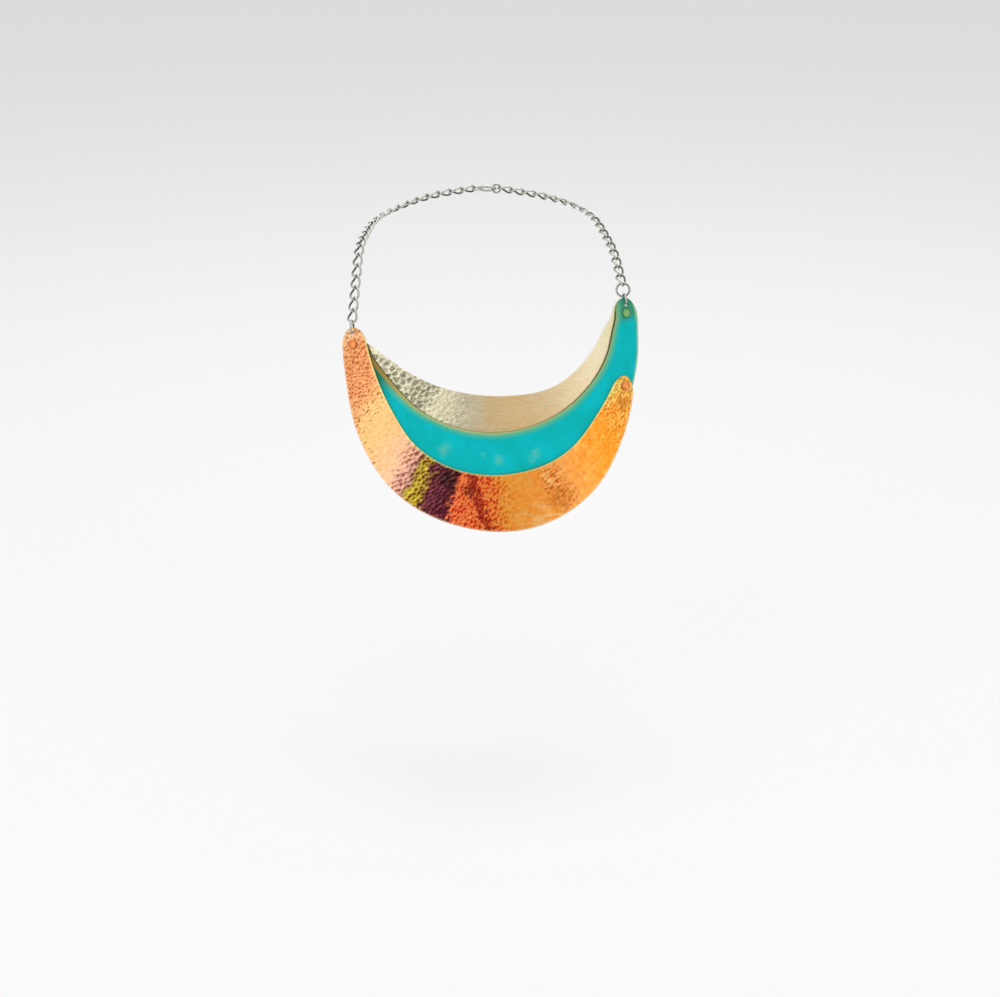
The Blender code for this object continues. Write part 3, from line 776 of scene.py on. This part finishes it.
# Colours by the angle, partly torch colours and partly painted reflections, and how painted
# shade darkens them in the hollows of the blows
COPPER_TONES = (
    (-90, 232, 180, 132),
    (-82, 224, 146, 92),
    (-66, 226, 152, 98),
    (-57, 236, 188, 122),
    (-44, 242, 184, 122),
    (-34, 238, 188, 146),
    (-30, 222, 166, 140),
    (-27.5, 186, 134, 120),
    (-26, 164, 140, 44),
    (-22.5, 200, 178, 42),
    (-20.8, 136, 92, 46),
    (-19.4, 110, 44, 60),
    (-12, 94, 28, 42),
    (-9.5, 254, 122, 66),
    (-3, 255, 128, 60),
    (2, 254, 138, 54),
    (6, 255, 164, 54),
    (20, 254, 158, 58),
    (27, 252, 168, 84),
    (40, 250, 160, 52),
    (50, 242, 148, 26),
    (60, 238, 158, 48),
    (71, 224, 170, 76),
)
# Colours of the painted shade in the hollows of the blows, by the angle
HOLLOW_SHADE_TONES = (
    (-60, 196, 154, 124),
    (-34, 200, 166, 152),
    (-28, 176, 136, 128),
    (-25, 160, 120, 60),
    (-20, 150, 96, 104),
    (-9, 208, 108, 86),
    (3, 214, 126, 86),
    (12, 214, 158, 100),
    (26, 190, 128, 74),
    (48, 212, 150, 80),
    (66, 186, 128, 64),
)


def left_of(finish, along, angle):
    """1 where the way along is left of an angle, and 0 to its right."""
    return 1 - finish.between(along, angle - 4, angle + 4)


def copper_finish():
    """Copper: part torch colours, part painted reflections, patches, painted light and shade."""
    finish = new_finish("torched_copper_painted_light")
    place = finish.kept("flat_mm", "Vector")
    along = finish.kept("along")
    dish = finish.kept("dish")
    tone = finish.kept("tone")
    side = finish.kept("side")
    inside = finish.kept("from_inner")
    outside = finish.kept("from_outer")
    cloud = finish.noise(place, 0.10, 4.0, 0.55)
    ragged = finish.noise(place, 0.45, 4.0, 0.65)
    fine = finish.noise(place, 1.4, 4.0, 0.7)
    aslant = (6 - inside) * left_of(finish, along, -46) * 0.3
    drift = (cloud - 0.5) * 9 + (ragged - 0.5) * 9 + (tone - 0.5) * 2.5 + aslant
    # Colours along the crescent: partly torch colours, partly painted reflections of the room
    base = finish.tones(along + drift, COPPER_TONES)
    # Dark patches and a dark red streak beside the plum band
    dark_patch = patch(finish, place, -13.5, 83, (ragged - 0.5) * 12, 3, 7)
    base = finish.tint(dark_patch * 0.85, base, 40, 12, 18)
    slant = along - inside * 0.22 + (ragged - 0.5) * 11
    streak = finish.between(slant, -7.8, -6.4) * (1 - finish.between(slant, -4.8, -3.2))
    base = finish.tint(streak * 0.85, base, 162, 20, 10)
    blot = patch(finish, place, -6, 88, (ragged - 0.5) * 16, 1, 5)
    base = finish.tint(blot * 0.8, base, 108, 10, 10)
    # Parts of the crescent, and the golden, amber and green clouds on its right
    left_arm = 1 - finish.between(along + (cloud - 0.5) * 18 + aslant, -66, -54)
    middle = finish.between(along + (cloud - 0.5) * 8, -36, -30) * (1 - finish.between(along, 2, 12))
    right_arm = finish.between(along + (cloud - 0.5) * 20, 46, 58)
    pits = patch(finish, place, 23.5, 88, (ragged - 0.5) * 20, 3, 9)
    mottle = finish.noise(place, 0.26, 5.0, 0.7, 0.8)
    past_middle = finish.between(along + (cloud - 0.5) * 10, 1, 9)
    golden = finish.between(mottle, 0.50, 0.60) * past_middle
    shade = finish.tint(golden * 0.30, base, 255, 206, 112)
    amber = (1 - finish.between(mottle, 0.38, 0.47)) * past_middle
    shade = finish.tint(amber * 0.45, shade, 232, 122, 8)
    greened = finish.between(along, 56, 66) * (1 - finish.between(inside + (ragged - 0.5) * 5, 1, 6))
    shade = finish.tint(greened * 0.55, shade, 210, 204, 104)
    # Blows: bright where they face the light and darker in their hollows
    right_share = right_arm * (0.25 + finish.between(mottle, 0.40, 0.60) * 0.4)
    scorch = patch(finish, place, 24.5, 100, (ragged - 0.5) * 20, 2, 12)
    struck_share = left_arm * 0.7 + middle * 0.95 + right_share + pits * 0.75 + scorch * 0.6 + 0.08
    facing = side + (fine - 0.5) * 0.5 + (tone - 0.5) * 0.5
    lit = finish.between(facing, 0.05, 0.55) * (1 - dish * 0.5)
    shade = finish.mix(lit * struck_share * 0.7, shade, finish.mix(0.6, shade, shade, "SCREEN"))
    shade = finish.tint(lit * middle * 0.11, shade, 255, 168, 140)
    shade = finish.tint(lit * right_arm * 0.22, shade, 255, 238, 160)
    shade = finish.tint(lit * pits * 0.5, shade, 255, 214, 168)
    # Painted shade in the hollows and on the walls turned from the light
    shaded_hollow = finish.between(dish * 0.5 - facing * 0.8, 0.20, 0.70)
    hollow_shade = finish.mix(1.0, shade, finish.tones(along + drift, HOLLOW_SHADE_TONES), "MULTIPLY")
    shade = finish.mix((shaded_hollow * struck_share).clamped(), shade, hollow_shade)
    # Short dark ticks of the hammer's edge in a band, along the low edge and in the pits, set on
    # the walls turned from the light, so partly painted shade
    first_band = finish.between(along + (cloud - 0.5) * 8, -64, -59)
    first_band = first_band * (1 - finish.between(along, -54, -48))
    low_edge = (1 - finish.between(outside, 2, 5)) * finish.between(along, -62, -56)
    low_edge = low_edge * left_of(finish, along, -36)
    shaded_wall = finish.between(dish * 0.5 - side + (fine - 0.5), 0.45, 0.70)
    ticks = finish.between(tone, 0.40, 0.45) * shaded_wall
    ticks = ticks * (first_band + low_edge + pits * 0.5).clamped()
    shade = finish.tint(ticks * 0.6, shade, 124, 66, 30)
    # Browned dishes, painted highlight streaks and a burn on the right, then painted highlights
    # along the edges
    scorched_dishes = scorch * (finish.between(tone + (fine - 0.5) * 0.5, 0.35, 0.65) * 0.35 + 0.25)
    shade = finish.tint(scorched_dishes, shade, 190, 100, 0)
    lower_right = finish.between(along, 7, 13) * (1 - finish.between(along, 22, 30)) * (1 - scorch)
    swept = finish.stretched(place, (0.26, 0.9, 1), math.radians(-12))
    swept = finish.noise(swept, 0.55, 3.0, 0.6, 0.5)
    # Pale streaks low on the right: painted highlights
    low_highlight_streaks = finish.between(swept, 0.44, 0.60) * lower_right * (1 - finish.between(outside, 7, 15))
    shade = finish.tint(low_highlight_streaks * 0.65, shade, 255, 206, 130)
    burnt = patch(finish, place, 63, 86, (ragged - 0.5) * 12, 0, 5)
    shade = finish.tint(burnt * 0.55, shade, 166, 78, 8)
    # Painted highlights along the outer and inner edges
    rim = 1 - finish.between(outside + (ragged - 0.5), 0.3, 1.1)
    shade = finish.tint(rim * 0.55, shade, 255, 206, 170)
    inner_edge_highlight = 1 - finish.between(inside + (ragged - 0.5) * 1.6, 0.4, 1.2)
    shade = finish.tint(inner_edge_highlight * 0.6, shade, 222, 220, 140)
    drawn = finish.stretched(place, (0.16, 1.2, 1), math.radians(-14))
    drawn = finish.noise(drawn, 1.0, 3.0, 0.6)
    return finish.paint(
        Base_Color=shade,
        Metallic=0.80,
        Roughness=0.27 + ragged * 0.14 + shaded_hollow * 0.08,
        Normal=finish.bump(fine * 0.6 + drawn * 0.4, 0.45, 0.00018),
    )


copper_holes = ((LEFT_RIVET, RIVET_HOLE), (LOWER_RIVET, RIVET_HOLE), (LEFT_HOLE, LEFT_RING_HOLE))
copper_mesh = sawn_sheet("copper_plate", COPPER_OUTLINE, COPPER_RADII, COPPER_CELLS, copper_holes)
copper_blows = hammer_blows(COPPER_OUTLINE, COPPER_RADII, COPPER_HAMMERING, COPPER_SEED)
finish_crescent(copper_mesh, COPPER_OUTLINE, COPPER_RADII, COPPER_LIFT, copper_blows, RIDGE_ROUND)
shown("copper_plate", copper_mesh, copper_finish(), "copper_crescent")

# Rivets. Solid copper rivets with low domed heads in front and flat tails behind, set with a
# hammer. The right one is green from the patina; the other two are warm copper.
SHANK = 0.0024
HEAD_EDGE = 0.0004
HEAD_DOME = 0.0007
TAIL = 0.0042
TAIL_HEIGHT = 0.0006
SEAT_GAP = 0.0003
RIVET_STEPS = 48
DOME_STEPS = 10
DENTS = 7
DENT_DEPTH = 0.00007
COPPER_FRONT = COPPER_LIFT + SHEET / 2
PATINA_FRONT, PATINA_BACK = SHEET / 2, -SHEET / 2
BRASS_BACK = BRASS_LIFT - SHEET / 2


def set_on_bib(places, across, up):
    """A turned piece, stood square on the bent bib at a place of the flat one."""
    foot = Vector(bend_to_chest(across, up, 0.0))
    outward = (Vector(bend_to_chest(across, up, 0.01)) - foot).normalized()
    turn = np.array(outward.to_track_quat("Z", "Y").to_matrix())
    return places @ turn.T + np.array(foot)


def rivet_mesh(name, place, front, back, head, seed):
    """Head, shank and tail turned in one piece, then dented and set in its place."""
    top, bottom = front + SEAT_GAP, back - SEAT_GAP
    profile = [
        (0, bottom - TAIL_HEIGHT),
        (TAIL * 0.30, bottom - TAIL_HEIGHT),
        (TAIL * 0.43, bottom - TAIL_HEIGHT * 0.85),
        (TAIL * 0.49, bottom - TAIL_HEIGHT * 0.5),
        (TAIL * 0.50, bottom - TAIL_HEIGHT * 0.2),
        (TAIL * 0.48, bottom),
        (SHANK / 2, bottom),
        (SHANK / 2, top),
        (head / 2 * 0.97, top),
        (head / 2, top + HEAD_EDGE * 0.5),
    ]
    for step in range(DOME_STEPS):
        turn = math.pi / 2 * step / DOME_STEPS
        reach = head / 2 * math.cos(turn) ** 0.9 * 0.995
        profile.append((reach, top + HEAD_EDGE + HEAD_DOME * math.sin(turn)))
    profile.append((0, top + HEAD_EDGE + HEAD_DOME))
    bm = bmesh.new()
    corners = [bm.verts.new((radius, 0, height)) for radius, height in profile]
    for low, high in zip(corners, corners[1:]):
        bm.edges.new((low, high))
    bmesh.ops.spin(
        bm,
        geom=bm.verts[:] + bm.edges[:],
        cent=(0, 0, 0),
        axis=(0, 0, 1),
        angle=2 * math.pi,
        steps=RIVET_STEPS,
        use_merge=True,
    )
    bmesh.ops.remove_doubles(bm, verts=bm.verts[:], dist=1e-6)
    bmesh.ops.recalc_face_normals(bm, faces=bm.faces[:])
    mesh = bpy.data.meshes.new(name)
    bm.to_mesh(mesh)
    bm.free()
    dice = np.random.default_rng(seed)
    places = coordinates(mesh)
    for _ in range(DENTS):
        middle = dice.uniform(-0.45, 0.45, 2) * head
        away = np.hypot(places[:, 0] - middle[0], places[:, 1] - middle[1])
        dent = DENT_DEPTH * np.exp(-((away / (head * 0.2)) ** 2))
        places[:, 2] -= np.where(places[:, 2] > top + HEAD_EDGE * 0.6, dent, 0)
    note(mesh, "from_middle", np.hypot(places[:, 0], places[:, 1]) / (head / 2))
    move_to(mesh, set_on_bib(places, *place))
    mesh.shade_smooth()
    mesh.set_sharp_from_angle(angle=SHARP)
    return mesh


def rivet_finish(name, first, second, deep):
    """Clouds of two colours, with a deeper one round the edge of the head."""
    finish = new_finish(name)
    place = finish.node("ShaderNodeTexCoord", {}, {}, "Object")
    middle = finish.kept("from_middle")
    cloud = finish.noise(place, 520.0, 3.0, 0.6)
    fine = finish.noise(place, 2600.0, 3.0, 0.6)
    shade = finish.tint(finish.between(cloud, 0.35, 0.65), opaque(colour(*first)), *second)
    edge = finish.between(middle + (cloud - 0.5) * 0.3, 0.72, 0.98)
    shade = finish.tint(edge * 0.6, shade, *deep)
    return finish.paint(
        Base_Color=shade,
        Metallic=0.75,
        Roughness=0.30 + fine * 0.2,
        Normal=finish.bump(fine, 0.3, 0.00008),
    )


warm_rivet = rivet_finish("rivet_copper", (246, 158, 84), (232, 136, 72), (190, 96, 50))
green_rivet = rivet_finish("rivet_green", (112, 174, 112), (152, 176, 92), (80, 138, 92))
# Node, place, front and back of what it clamps, width of the head, seed, finish and slot
rivets = (
    ("left_rivet", LEFT_RIVET, COPPER_FRONT, BRASS_BACK, 0.0053, 21, warm_rivet, "copper"),
    ("right_rivet", RIGHT_RIVET, PATINA_FRONT, BRASS_BACK, 0.0047, 22, green_rivet, "greened_copper"),
    ("lower_rivet", LOWER_RIVET, COPPER_FRONT, PATINA_BACK, 0.0049, 23, warm_rivet, "copper"),
)
for node, place, front, back, head, seed, metal, slot in rivets:
    piece = f"{node}_head"
    shown(piece, rivet_mesh(piece, place, front, back, head, seed), metal, node)

# Jump rings. Round wire coiled, cut and closed through the tips' holes: one at the left tip,
# a small and a larger one at the right, and one at the clasp. Each shows its cut as a fine
# slit.
SMALL_WIRE = 0.0011
LARGE_WIRE = 0.0012
RING_STEPS = 60
RING_ROUNDNESS = 4
SLIT = math.radians(3)
# Piece, node, width over all, wire, and the way its slit faces
RINGS = (
    ("left_jump_ring", "left_ring", 0.0083, SMALL_WIRE, (-1, 0, 0.3)),
    ("right_jump_ring", "right_ring", 0.0069, SMALL_WIRE, (1, 0, 0.6)),
    ("large_jump_ring", "large_ring", 0.0085, LARGE_WIRE, (-1, 0, -0.2)),
    ("end_jump_ring", "end_ring", 0.0062, SMALL_WIRE, (0, 0, 1)),
)


def own_frame(node):
    """Middle of a CAD node, its own axes with the longest way first, and its corners."""
    places = np.unique(coordinates(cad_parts[node].data).round(7), axis=0)
    middle = places.mean(axis=0)
    axes = np.linalg.eigh(np.cov((places - middle).T))[1][:, ::-1].copy()
    if np.linalg.det(axes) < 0:
        axes[:, 2] *= -1
    return middle, axes, places


def wire_mesh(name, points, wire, closed, roundness):
    """Round wire along points, with its ends closed; keeps how far each point faces inwards."""
    curve = bpy.data.curves.new(name, "CURVE")
    curve.dimensions = "3D"
    curve.bevel_depth = wire / 2
    curve.bevel_resolution = roundness
    curve.use_fill_caps = True
    spline = curve.splines.new("POLY")
    spline.points.add(len(points) - 1)
    for spot, point in zip(spline.points, points):
        spot.co = (*point, 1.0)
    spline.use_cyclic_u = closed
    thing = bpy.data.objects.new(name, curve)
    bpy.context.scene.collection.objects.link(thing)
    depsgraph = bpy.context.evaluated_depsgraph_get()
    mesh = bpy.data.meshes.new_from_object(thing.evaluated_get(depsgraph))
    bpy.data.objects.remove(thing, do_unlink=True)
    places, line = coordinates(mesh), np.array(points, float)
    nearest = line[((places[:, None, :] - line[None]) ** 2).sum(axis=2).argmin(axis=1)]
    inward = -nearest / np.maximum(np.linalg.norm(nearest, axis=1), 1e-6)[:, None]
    note(mesh, "inward", ((places - nearest) * inward).sum(axis=1) / (wire / 2))
    mesh.shade_smooth()
    return mesh


def chain_finish():
    """Silvered wire, rubbed to brass in specks and dark with tarnish on its inner side."""
    finish = new_finish("antique_silvered_wire")
    place = finish.node("ShaderNodeTexCoord", {}, {}, "Object")
    inward = finish.kept("inward")
    cloud = finish.noise(place, 220.0, 3.0, 0.6)
    fine = finish.noise(place, 1800.0, 4.0, 0.65)
    shade = finish.tint(cloud, opaque(colour(212, 213, 206)), 176, 174, 162)
    rubbed = finish.between(fine, 0.56, 0.72)
    shade = finish.tint(rubbed * 0.5, shade, 124, 116, 96)
    tarnish = finish.between(inward + (fine - 0.5) * 1.4, -0.25, 0.75)
    shade = finish.tint(tarnish * 0.85, shade, 54, 50, 42)
    return finish.paint(
        Base_Color=shade,
        Metallic=0.9,
        Roughness=0.26 + fine * 0.12 + tarnish * 0.2,
        Normal=finish.bump(fine, 0.25, 0.00008),
    )


chain_metal = chain_finish()


def closed_ring(piece, node, outside, wire, slit_side):
    """Ring in its CAD node's place, with its slit towards a given direction."""
    middle, axes, _ = own_frame(node)
    normal = Vector(axes[:, 2])
    towards = Vector(slit_side)
    towards = (towards - normal * towards.dot(normal)).normalized()
    aside = normal.cross(towards)
    radius = (outside - wire) / 2
    points = []
    for step in range(RING_STEPS + 1):
        turn = SLIT / 2 + (2 * math.pi - SLIT) * step / RING_STEPS
        points.append((radius * math.cos(turn), radius * math.sin(turn), 0))
    mesh = wire_mesh(piece, points, wire, False, RING_ROUNDNESS)
    mesh.transform(
        Matrix.Translation(Vector(middle))
        @ Matrix((towards, aside, normal)).transposed().to_4x4()
    )
    shown(piece, mesh, chain_metal, node)


for ring in RINGS:
    closed_ring(*ring)

# Chain. Open curb chain, each link a soldered oval of round wire twisted a quarter turn so
# that the links lie flat in a row. Every link is its own piece.
LINK_WIDTH = 0.0064
LINK_WIRE = 0.0012
LINK_TWIST = math.radians(-45)
LINK_STEPS = 36
LINK_ROUNDNESS = 3
LEFT_LINKS = 22
RIGHT_LINKS = 19


def link_mesh(name, length):
    """One link about the origin, with its long way on X."""
    points = []
    for step in range(LINK_STEPS):
        turn = 2 * math.pi * step / LINK_STEPS
        aside = (LINK_WIDTH - LINK_WIRE) / 2 * math.sin(turn)
        twist = LINK_TWIST * math.cos(turn)
        along = length / 2 * math.cos(turn)
        points.append((along, aside * math.cos(twist), aside * math.sin(twist)))
    return wire_mesh(name, points, LINK_WIRE, True, LINK_ROUNDNESS)


for side, count in (("left", LEFT_LINKS), ("right", RIGHT_LINKS)):
    middle, axes, places = own_frame(f"{side}_link_01")
    reach = (places - middle) @ axes[:, 0]
    pattern = link_mesh(f"{side}_pattern", reach.max() - reach.min() - LINK_WIRE)
    for number in range(1, count + 1):
        node = f"{side}_link_{number:02d}"
        middle, axes, _ = own_frame(node)
        mesh = pattern.copy()
        place = Matrix(axes.tolist()).to_4x4()
        place.translation = Vector(middle)
        mesh.transform(place)
        shown(f"{side}_chain_{number:02d}", mesh, chain_metal, node)

# Clasp. A plain long loop with an eyelet, cast in one piece, which the end ring passes
# through at the nape.
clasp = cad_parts["clasp"]
clasp.data.materials.clear()
clasp.data.materials.append(chain_metal)
